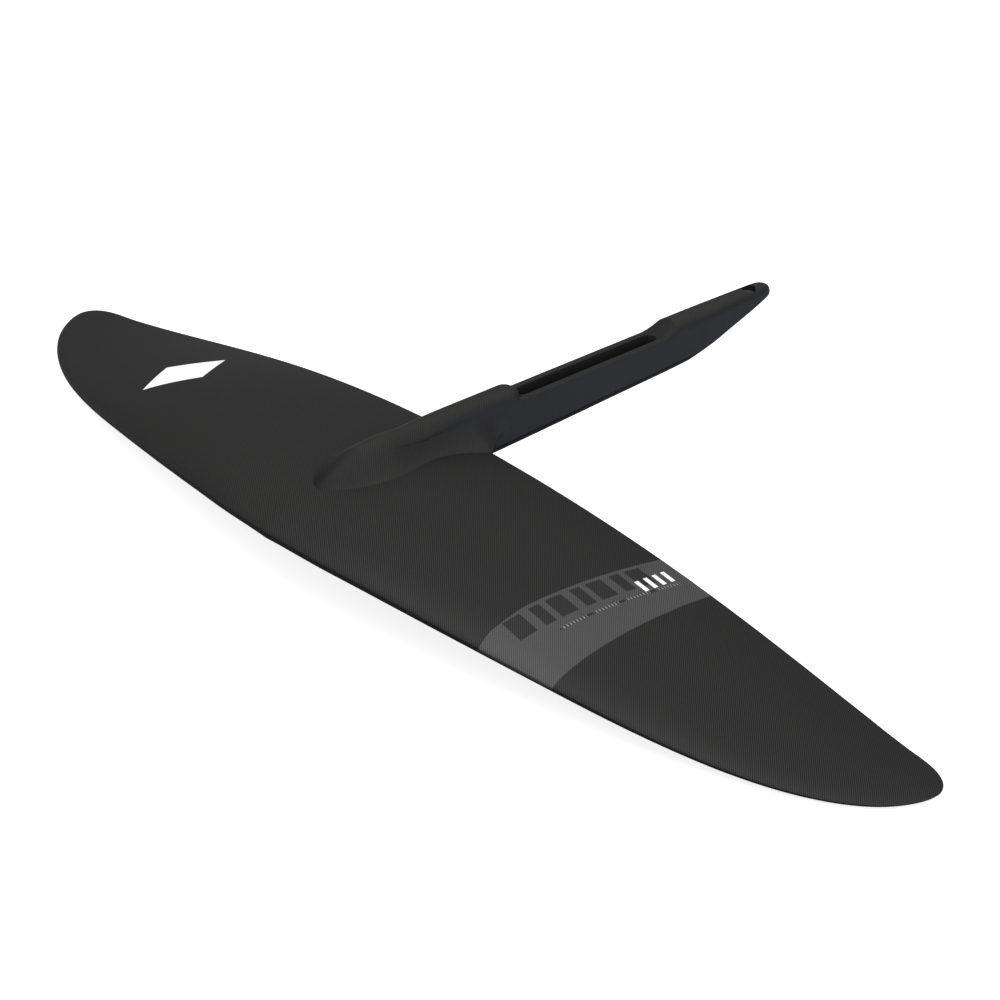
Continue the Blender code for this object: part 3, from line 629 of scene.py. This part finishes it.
def build_tail_block():
    angle = quarter(CORNER_STEPS + 1)
    high, side_steps = RAIL_Z - 0.2, 7
    rings = []
    for y in tail_stations(TAIL_START, 46):
        half = body_half_width(y)
        low = min(keel_height(y) + 0.28 * ramp(y, 97.0, 25.0), high - 0.6)
        # the lower corners tighten towards the tail
        tighter = ramp(y, 95.0, 40.0)
        tall = min(CORNER_HEIGHT - 3.2 * tighter, (high - low) * 0.5)
        corner = min(CORNER_WIDTH - 2.2 * tighter, half * 0.5)
        x = np.concatenate([
            [0.0, (half - corner) / 2],
            half - corner * (1 - np.sin(angle)),
            np.full(side_steps, half),
        ])
        z = np.concatenate([
            [low, low],
            low + tall * (1 - np.cos(angle)),
            np.linspace(low + tall, high, side_steps + 1)[1:],
        ])
        rings.append(closed_ring(x, y, z, lid_between(half, 6), high))
    made = grid_mesh("tail_block_moulding", rings)
    subtract(made, drill(HOLE_Y, TAIL_BORE, -30, RAIL_Z + 30, 64))
    return smooth(made)


# ---------------------------------------------------------------- shader arithmetic
def feed(tree, entry, value):
    """Gives a node's input a field, a socket, a colour or a number."""
    if isinstance(value, Field):
        value = value.socket
    if isinstance(value, bpy.types.NodeSocket):
        tree.links.new(value, entry)
    elif isinstance(value, tuple):
        entry.default_value = (*value, 1.0)
    else:
        entry.default_value = value


class Field:
    """A value in a shader tree, so that patterns can be written as arithmetic."""

    def __init__(self, tree, socket):
        self.tree, self.socket = tree, socket

    def _math(self, operation, *others):
        node = self.tree.nodes.new("ShaderNodeMath")
        node.operation = operation
        for i, value in enumerate((self, *others)):
            feed(self.tree, node.inputs[i], value)
        return Field(self.tree, node.outputs[0])

    def __add__(self, other): return self._math("ADD", other)
    def __sub__(self, other): return self._math("SUBTRACT", other)
    def __rsub__(self, other): return self * -1.0 + other
    def __mul__(self, other): return self._math("MULTIPLY", other)
    def __truediv__(self, other): return self._math("DIVIDE", other)
    def abs(self): return self._math("ABSOLUTE")
    def floor(self): return self._math("FLOOR")
    def fract(self): return self._math("FRACT")
    def mod(self, other): return self._math("FLOORED_MODULO", other)
    def min(self, other): return self._math("MINIMUM", other)
    def max(self, other): return self._math("MAXIMUM", other)
    def pow(self, other): return self._math("POWER", other)
    def below(self, other): return self._math("LESS_THAN", other)

    def step(self, edge, soft):
        """0 below the edge and 1 above it, over a soft width."""
        return ((self - edge) / soft + 0.5).max(0.0).min(1.0)

    def mix(self, zero, one):
        """zero where this is 0, one where it is 1; zero is a field."""
        if isinstance(one, Field):
            return self * (one - zero) + zero
        return (1.0 - self) * zero + self * one


def split_axes(tree, socket):
    node = tree.nodes.new("ShaderNodeSeparateXYZ")
    tree.links.new(socket, node.inputs[0])
    return [Field(tree, output) for output in node.outputs]


def camera_ray(tree):
    """1 for what the camera sees directly, else 0."""
    return Field(tree, tree.nodes.new("ShaderNodeLightPath").outputs["Is Camera Ray"])


def colour_mix(share, zero, one, blend="MIX"):
    """Mixes two colours, tuples or sockets, by a field or a number."""
    tree = next(v for v in (share, zero, one) if isinstance(v, Field)).tree
    node = tree.nodes.new("ShaderNodeMix")
    node.data_type, node.blend_type = "RGBA", blend
    for i, value in ((0, share), (6, zero), (7, one)):
        feed(tree, node.inputs[i], value)
    return node.outputs[2]


class Look:
    """A material with the fields that every finish starts from."""

    def __init__(self, name):
        self.material = bpy.data.materials.new(name)
        self.material.use_nodes = True
        self.tree = self.material.node_tree
        self.shader = self.tree.nodes["Principled BSDF"]
        self.place = self.tree.nodes.new("ShaderNodeTexCoord").outputs["Object"]

    def read_axes(self):
        """Adds the place in mm as x, y, z, and the normal's y and z."""
        self.x, self.y, self.z = (axis * 1000.0 for axis in split_axes(self.tree, self.place))
        geometry = self.tree.nodes.new("ShaderNodeNewGeometry")
        _, self.ny, self.nz = split_axes(self.tree, geometry.outputs["True Normal"])

    def noise(self, scale, detail=3.0, rough=0.5, stretch=None):
        node = self.tree.nodes.new("ShaderNodeTexNoise")
        node.inputs["Scale"].default_value = scale
        node.inputs["Detail"].default_value = detail
        node.inputs["Roughness"].default_value = rough
        source = self.place
        if stretch:
            scaled = self.tree.nodes.new("ShaderNodeMapping")
            scaled.inputs["Scale"].default_value = stretch
            self.tree.links.new(source, scaled.inputs[0])
            source = scaled.outputs[0]
        self.tree.links.new(source, node.inputs["Vector"])
        return Field(self.tree, node.outputs[0])

    def set(self, name, value):
        feed(self.tree, self.shader.inputs[name], value)

    def relief(self, height, depth_mm, strength, round_mm=0.0):
        """Bump from a height field of 0..1, on edges rounded by round_mm."""
        bump = self.tree.nodes.new("ShaderNodeBump")
        bump.inputs["Strength"].default_value = strength
        bump.inputs["Distance"].default_value = depth_mm * MM
        feed(self.tree, bump.inputs["Height"], height)
        if round_mm:
            edge = self.tree.nodes.new("ShaderNodeBevel")
            edge.samples = 6
            edge.inputs["Radius"].default_value = round_mm * MM
            self.tree.links.new(edge.outputs[0], bump.inputs["Normal"])
        self.set("Normal", bump.outputs[0])


# ---------------------------------------------------------------- carbon finishes
def twill(across, along, tow):
    """2x2 twill over two fields in mm: whether the warp is on top, and the top tow's crown."""
    across, along = across / tow, along / tow
    warp = (across.floor() + along.floor()).mod(4.0).below(1.5)
    crown_across = 1.0 - ((across.fract() - 0.5) * 2.0).pow(2.0)
    crown_along = 1.0 - ((along.fract() - 0.5) * 2.0).pow(2.0)
    return warp, warp.mix(crown_along, crown_across)


def painted_shade(look, under_from, low_shade, facing_shade, fore_shade, top_shade):
    """Painted shade: how far the colour is darkened and the reflection cut, the most of five zones.
    """
    # painted shade on faces that look down
    under = (look.nz * -1.0).step(edge=under_from, soft=0.2)
    # painted shade on the body's lower corner, below a line that rises aft, up to the tail
    low = (look.y * 0.0349 - 7.1 - look.z).step(edge=0.0, soft=0.5)
    low = low * (1.0 - look.y.step(edge=103.0, soft=5.0)) * low_shade
    # painted shade on faces that look forward
    facing_fore = (look.ny * -1.0).step(edge=0.32, soft=0.4) * facing_shade
    # painted shade on what lies forward of y -106
    fore = (1.0 - look.y.step(edge=-106.0, soft=18.0)) * fore_shade
    # painted shade on level faces at the height of the rails' tops
    rail_top = look.nz.step(edge=0.9, soft=0.15) * look.z.step(edge=17.2, soft=0.4)
    rail_top = rail_top * (look.z - 18.6).below(0.0) * top_shade
    return (under * 0.68).max(low).max(facing_fore).max(fore).max(rail_top)


def carbon(name, base, rough, tow, contrast, relief, round_mm=0.35, flat=True, decorate=None,
           under_from=0.16, low_shade=0.0, facing_shade=0.0, fore_shade=0.0, top_shade=0.0):
    """Satin carbon twill, its sheen changing with the tows.

    tow, relief and round_mm are mm. A flat weave is laid from above; otherwise it turns
    onto steep sides. decorate changes the colour, roughness and height.
    """
    look = Look(name)
    look.read_axes()
    across = look.x if flat else look.nz.abs().below(0.62).mix(look.x, look.z)
    warp, crown = twill(across, look.y, tow)
    cloud = look.noise(scale=9.0)
    fine = look.noise(scale=900.0, detail=2.0, rough=0.6)
    weave = (warp - 0.5) * contrast + (crown - 0.6) * contrast * 0.7
    shade = weave + (cloud - 0.5) * 0.22 + (fine - 0.5) * 0.10 + 1.0
    grey = look.tree.nodes.new("ShaderNodeCombineColor")
    for i in range(3):
        feed(look.tree, grey.inputs[i], shade)
    shade_colour = Field(look.tree, grey.outputs[0])
    colour = colour_mix(1.0, base, shade_colour, blend="MULTIPLY")
    roughness = (warp - 0.5) * 0.06 + (cloud - 0.5) * 0.12 + (fine - 0.5) * 0.05 + rough
    height = crown * 0.8 + warp * 0.2 + fine * 0.12
    if decorate:
        colour, roughness, height = decorate(look, colour, roughness, height, warp, crown)
    look.set("Roughness", roughness)
    # painted shade: in the shaded zones the colour goes towards black and the reflection is cut
    shade_mask = painted_shade(look, under_from, low_shade, facing_shade, fore_shade, top_shade)
    look.set("Base Color", colour_mix(shade_mask, colour, (0.004, 0.004, 0.0045)))
    look.set("Specular IOR Level", (weave * 0.9 + 1.0) * 0.5 * (1.0 - shade_mask * 0.9))
    look.relief(height, depth_mm=relief, strength=0.6, round_mm=round_mm)
    return look.material


def box_mask(x, y, centre, half, soft):
    """1 inside a rectangle; centre and half size are (x, y) pairs."""
    inside = [
        ((axis - middle).abs() * -1.0).step(edge=-reach, soft=soft)
        for axis, middle, reach in zip((x, y), centre, half)
    ]
    return inside[0] * inside[1]


BAND_GREY, BAR_BLACK, RULE_BLACK = (0.120, 0.119, 0.117), (0.016,) * 3, (0.014,) * 3
# the last colour is painted light: a glow given to the white marks, though they are no lamp
PIP_GREY, PAINT_WHITE, PAINTED_GLOW_LIGHT = (0.45,) * 3, (0.86, 0.86, 0.85), (0.95, 0.95, 0.94)
BAND_SWEEP = 13.5                # how far the band leans outboard at its aft end
# station and half length of the dark bars down the band
DARK_BARS = (
    (52.0, 6.4), (69.0, 4.0), (84.0, 6.4), (101.0, 4.0), (116.0, 6.4), (133.0, 4.0), (148.0, 6.4),
)
WHITE_BARS = (142.0, 150.0, 158.0, 166.0)  # stations
LOZENGE_CENTRE, LOZENGE_HALF = (-224.0, 112.0), (21.0, 37.0)


def wing_marks(look, colour, roughness, height, warp, crown):
    """Painted marks: a grey band with dark and white bars to port, a lozenge to starboard."""
    x, y = look.x, look.y * COS + (look.z - RAIL_Z) * SIN + SEAT_Y
    # a chordwise band whose edges bow outwards a little
    aft = ((y - 38.0).max(0.0) / 137.0).pow(0.75)
    inner = x - (aft * BAND_SWEEP + 161.0 + ((63.0 - y).max(0.0) / 35.0) * 3.6)
    outer = 215.5 - ((100.0 - y).max(0.0) / 60.0).pow(2.0) * 2.0 - x
    band = inner.step(edge=0.0, soft=0.4) * outer.step(edge=0.0, soft=0.4)
    colour = colour_mix(band * (crown * 0.40 + warp * 0.42 + 0.30), colour, BAND_GREY)
    bars = reduce(Field.max, (
        box_mask(x - aft * BAND_SWEEP, y, centre=(171.5, station), half=(8.0, half), soft=0.4)
        for station, half in DARK_BARS
    ))
    colour = colour_mix(bars * 0.92, colour, BAR_BLACK)
    # a fine dashed line beside them
    line = (y - 70.0) * 0.075 + 191.0
    rule = box_mask(x - line, y, centre=(0.0, 119.0), half=(0.95, 50.0), soft=0.25)
    dash = (y / 2.6).fract().step(edge=0.5, soft=0.12)
    colour = colour_mix(rule * 0.9, colour, RULE_BLACK)
    pip = rule * dash * ((y - 70.0) / 26.0).fract().below(0.78)
    colour = colour_mix(pip * 0.7, colour, PIP_GREY)
    white = reduce(Field.max, (
        box_mask(x, y, centre=(190.0, station), half=(5.0, 1.7), soft=0.3)
        for station in WHITE_BARS
    ))
    out_x, out_y = (
        (axis - centre).abs() / half
        for axis, centre, half in zip((x, y), LOZENGE_CENTRE, LOZENGE_HALF)
    )
    white = white.max((1.0 - (out_x + out_y)).step(edge=0.0, soft=0.02))
    speck = look.noise(scale=260.0, detail=2.0, rough=0.6)
    paint = white * (speck * 0.12 + 0.88)
    # painted light: the white marks glow a little, as if lit more brightly
    look.set("Emission Color", PAINTED_GLOW_LIGHT)
    look.set("Emission Strength", paint * 0.62)
    height = height * (1.0 - white * 0.8) + white * 0.9
    return colour_mix(paint, colour, PAINT_WHITE), paint * 0.08 + roughness, height


SKIN_BLACK = (0.0126, 0.0121, 0.0113)
BODY_BLACK = (0.0190, 0.0184, 0.0174)
# a cooler painted tone for the body's steep sides, standing in for how the light falls on them
SIDE_PAINTED_TONE = (0.0165, 0.0168, 0.0190)


def body_painted_side_tone(look, colour, roughness, height, _warp, _crown):
    """Painted light: steep faces get a flat, cooler tone in place of the weave's colour, and less
    relief; faces that look up keep the weave.
    """
    top = look.nz.step(edge=0.5, soft=0.5)
    return colour_mix(top, SIDE_PAINTED_TONE, colour), roughness, height * (top * 0.8 + 0.2)


# under_from -0.42 puts painted shade on the wing's steep faces and its underside
WING_WEAVE = dict(
    base=SKIN_BLACK, rough=0.46, tow=0.42, contrast=0.75, relief=0.03, round_mm=0.0,
    under_from=-0.42,
)
BODY_WEAVE = dict(
    base=BODY_BLACK, rough=0.44, tow=0.42, contrast=0.5, relief=0.02, decorate=body_painted_side_tone
)
skin_upper = carbon("carbon_twill_marked", decorate=wing_marks, **WING_WEAVE)
skin_lower = carbon("carbon_twill", **WING_WEAVE)
# painted shade zones: the body's rail tops a little and its lower corners, the deck's forward faces,
# the keel fairing's fore part and lower corners
body_carbon = carbon("carbon_body", top_shade=0.15, low_shade=0.72, **BODY_WEAVE)
deck_carbon = carbon("carbon_deck", facing_shade=0.45, **BODY_WEAVE)
keel_carbon = carbon("carbon_keel", fore_shade=0.6, low_shade=0.72, **BODY_WEAVE)
laminate = carbon(
    "solid_laminate", base=(0.020, 0.020, 0.021), rough=0.55, tow=1.2, contrast=0.10,
    relief=0.02, round_mm=0.25, flat=False,
)


# ---------------------------------------------------------------- other finishes
def lining_finish():
    look = Look("socket_resin")
    grain = look.noise(scale=420.0, detail=4.0, rough=0.6)
    cloud = look.noise(scale=30.0, detail=2.0)
    dark, light = (0.020, 0.020, 0.021), (0.034, 0.034, 0.036)
    look.set("Base Color", colour_mix(grain * 0.5 + cloud * 0.4, dark, light))
    look.set("Roughness", grain * 0.15 + 0.55)
    look.set("Specular IOR Level", 0.25)
    look.relief(grain, depth_mm=0.04, strength=0.5, round_mm=0.3)
    return look.material


def tow_finish():
    look = Look("unidirectional_tow")
    streak = look.noise(scale=60.0, detail=4.0, rough=0.6, stretch=(1.0, 22.0, 6.0))
    look.set("Base Color", colour_mix(streak, (0.012, 0.012, 0.013), (0.040, 0.040, 0.043)))
    look.set("Roughness", streak * 0.2 + 0.35)
    look.set("Anisotropic", 0.5)
    look.relief(streak, depth_mm=0.05, strength=0.5)
    return look.material


def resin_finish():
    look = Look("filled_resin")
    grain = look.noise(scale=350.0, detail=4.0, rough=0.55)
    cloud = look.noise(scale=25.0)
    dark, light = (0.10, 0.095, 0.085), (0.21, 0.20, 0.175)
    look.set("Base Color", colour_mix(grain * 0.6 + cloud * 0.4, dark, light))
    look.set("Roughness", grain * 0.25 + 0.45)
    look.relief(grain, depth_mm=0.05, strength=0.5)
    return look.material


def foam_finish():
    look = Look("closed_cell_foam")
    node = look.tree.nodes.new("ShaderNodeTexVoronoi")
    node.inputs["Scale"].default_value = 900.0
    look.tree.links.new(look.place, node.inputs["Vector"])
    cell = Field(look.tree, node.outputs["Distance"])
    cloud = look.noise(scale=20.0)
    light, dark = (0.80, 0.74, 0.58), (0.60, 0.53, 0.38)
    look.set("Base Color", colour_mix(cell * 0.8 + cloud * 0.3, light, dark))
    look.set("Roughness", cell * 0.1 + 0.82)
    look.relief(cell, depth_mm=0.2, strength=0.7)
    return look.material


def metal_finish(name, light, dark, rough):
    look = Look(name)
    turned = look.noise(scale=40.0, stretch=(1.0, 1.0, 60.0))
    worn = look.noise(scale=240.0, rough=0.6)
    look.set("Base Color", colour_mix(turned * 0.6 + worn * 0.4, dark, light))
    look.set("Metallic", 1.0)
    look.set("Roughness", turned * 0.18 + worn * 0.08 + rough)
    look.relief(turned, depth_mm=0.02, strength=0.4, round_mm=0.25)
    return look.material


lining_dark, tow_mat, resin_mat, foam_mat = (
    lining_finish(), tow_finish(), resin_finish(), foam_finish()
)
steel = metal_finish(
    "turned_steel", light=(0.62, 0.61, 0.60), dark=(0.42, 0.42, 0.43), rough=0.26
)
dark_metal = metal_finish(
    "blackened_metal", light=(0.34, 0.335, 0.33), dark=(0.22, 0.22, 0.22), rough=0.42
)

# ---------------------------------------------------------------- the pieces
# object, finish, material slot, the frame piece it replaces
PIECES = [
    (build_skin("upper_skin_moulding", True), skin_upper, "carbon_skin", "upper_skin"),
    (build_skin("lower_skin_moulding", False), skin_lower, "carbon_skin", "lower_skin"),
    (build_front_deck(), deck_carbon, "carbon_skin", "front_deck"),
    (build_keel_fairing(), keel_carbon, "carbon_skin", "keel_fairing"),
    (build_shell("port_body_moulding", 1), body_carbon, "carbon_skin", "port_body_shell"),
    (build_shell("starboard_body_moulding", -1), body_carbon, "carbon_skin",
     "starboard_body_shell"),
    (build_strip(), laminate, "solid_laminate", "keel_strip"),
    (build_lining(), lining_dark, "solid_laminate", "mast_socket_liner"),
    (build_tail_deck(), deck_carbon, "carbon_skin", "tail_deck"),
    (build_tail_block(), body_carbon, "solid_laminate", "tail_block"),
]
for obj, finish, slot_name, stood_for in PIECES:
    obj.data.materials.clear()
    obj.data.materials.append(finish)
    for polygon in obj.data.polygons:
        polygon.material_index = 0
    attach(obj, "root")
    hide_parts(stood_for)


def inner_finish(name):
    """The finish of a frame piece that is kept, by its name."""
    if name.endswith("_core"):
        return foam_mat
    for words, finish in (
        ("spar_cap", tow_mat), ("leading_edge_filler", tow_mat),
        ("trailing_edge_filler", resin_mat), ("sleeve", steel), ("bush", dark_metal),
    ):
        if words in name:
            return finish
    return laminate


for name, obj in nodes.items():
    if obj.hide_render:
        continue
    for slot in obj.material_slots:
        slot.material = inner_finish(name)
    if not obj.material_slots:
        obj.data.materials.append(inner_finish(name))


# ---------------------------------------------------------------- floor, light and camera, metres
def build_floor():
    """A pale floor that glows to the camera and is greyer to everything else."""
    bpy.ops.mesh.primitive_plane_add(size=30.0, location=(0, 0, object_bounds()[0].z - 0.002))
    floor = bpy.context.object
    floor.name = "floor"
    look = Look("pale_floor")
    cloud = look.noise(scale=3.0, detail=2.0)
    seen = camera_ray(look.tree)
    pale = colour_mix(cloud, (0.93, 0.93, 0.93), (0.96, 0.96, 0.96))
    look.set("Base Color", colour_mix(seen, (0.50, 0.51, 0.53), pale))
    look.set("Roughness", 0.9)
    look.set("Specular IOR Level", 0.1)
    look.set("Emission Color", colour_mix(seen, (0.0, 0.0, 0.0), (1.0, 1.0, 1.0)))
    look.set("Emission Strength", seen * 0.78)
    floor.data.materials.append(look.material)


# strengths of the sky overhead, all round, and ahead of the nose
SKY_TOP, SKY_EDGE, SKY_FRONT = 0.64, 0.05, 0.75


def build_world():
    """A white backdrop to the camera, a soft graded sky to the rest."""
    world = bpy.data.worlds.new("studio")
    bpy.context.scene.world = world
    world.use_nodes = True
    tree = world.node_tree
    backdrop = tree.nodes["Background"]
    backdrop.inputs[0].default_value = (1.0, 1.0, 1.0, 1.0)
    coords = tree.nodes.new("ShaderNodeTexCoord")
    x, y, z = split_axes(tree, coords.outputs["Generated"])
    overhead = z.max(0.0)
    ahead = (y * -0.8 + x * 0.25).max(0.0)
    light = overhead.pow(1.2) * SKY_TOP + ahead * SKY_FRONT + SKY_EDGE
    feed(tree, backdrop.inputs[1], camera_ray(tree).mix(light, 1.0))


def lamp(name, place, aim, size, power, colour=(1, 1, 1)):
    data = bpy.data.lights.new(name, "AREA")
    data.shape, data.size, data.size_y = "RECTANGLE", size[0], size[1]
    data.energy, data.color = power, colour
    made = bpy.data.objects.new(name, data)
    bpy.context.scene.collection.objects.link(made)
    made.location = place
    made.rotation_mode = "QUATERNION"
    made.rotation_quaternion = (Vector(aim) - Vector(place)).to_track_quat("-Z", "Y")


def build_camera(place, forward, upward, lens):
    data = bpy.data.cameras.new("camera")
    data.sensor_width, data.lens = 36.0, lens
    data.clip_start, data.clip_end = 0.05, 50.0
    camera = bpy.data.objects.new("camera", data)
    bpy.context.scene.collection.objects.link(camera)
    forward = Vector(forward).normalized()
    right = forward.cross(Vector(upward)).normalized()
    upward = right.cross(forward).normalized()
    spin = Matrix((right, upward, -forward)).transposed()
    camera.matrix_world = Matrix.Translation(place) @ spin.to_4x4()
    bpy.context.scene.camera = camera


build_floor()
build_world()
lamp("key", place=(0.2, -1.4, 2.6), aim=(0, -0.1, 0), size=(2.2, 1.6), power=7.0)
lamp("side", place=(2.6, 0.4, 0.9), aim=(0, 0, 0), size=(1.4, 1.2), power=9.0,
     colour=(0.90, 0.95, 1.0))
view = bpy.context.scene.view_settings
view.view_transform = "Standard"
view.look = "None"
build_camera(
    place=(0.96543, -1.09270, 0.73685), forward=(-0.59897, 0.62881, -0.49583),
    upward=(-0.3828, 0.3191, 0.8670), lens=83.82,
)

bpy.context.view_layer.update()
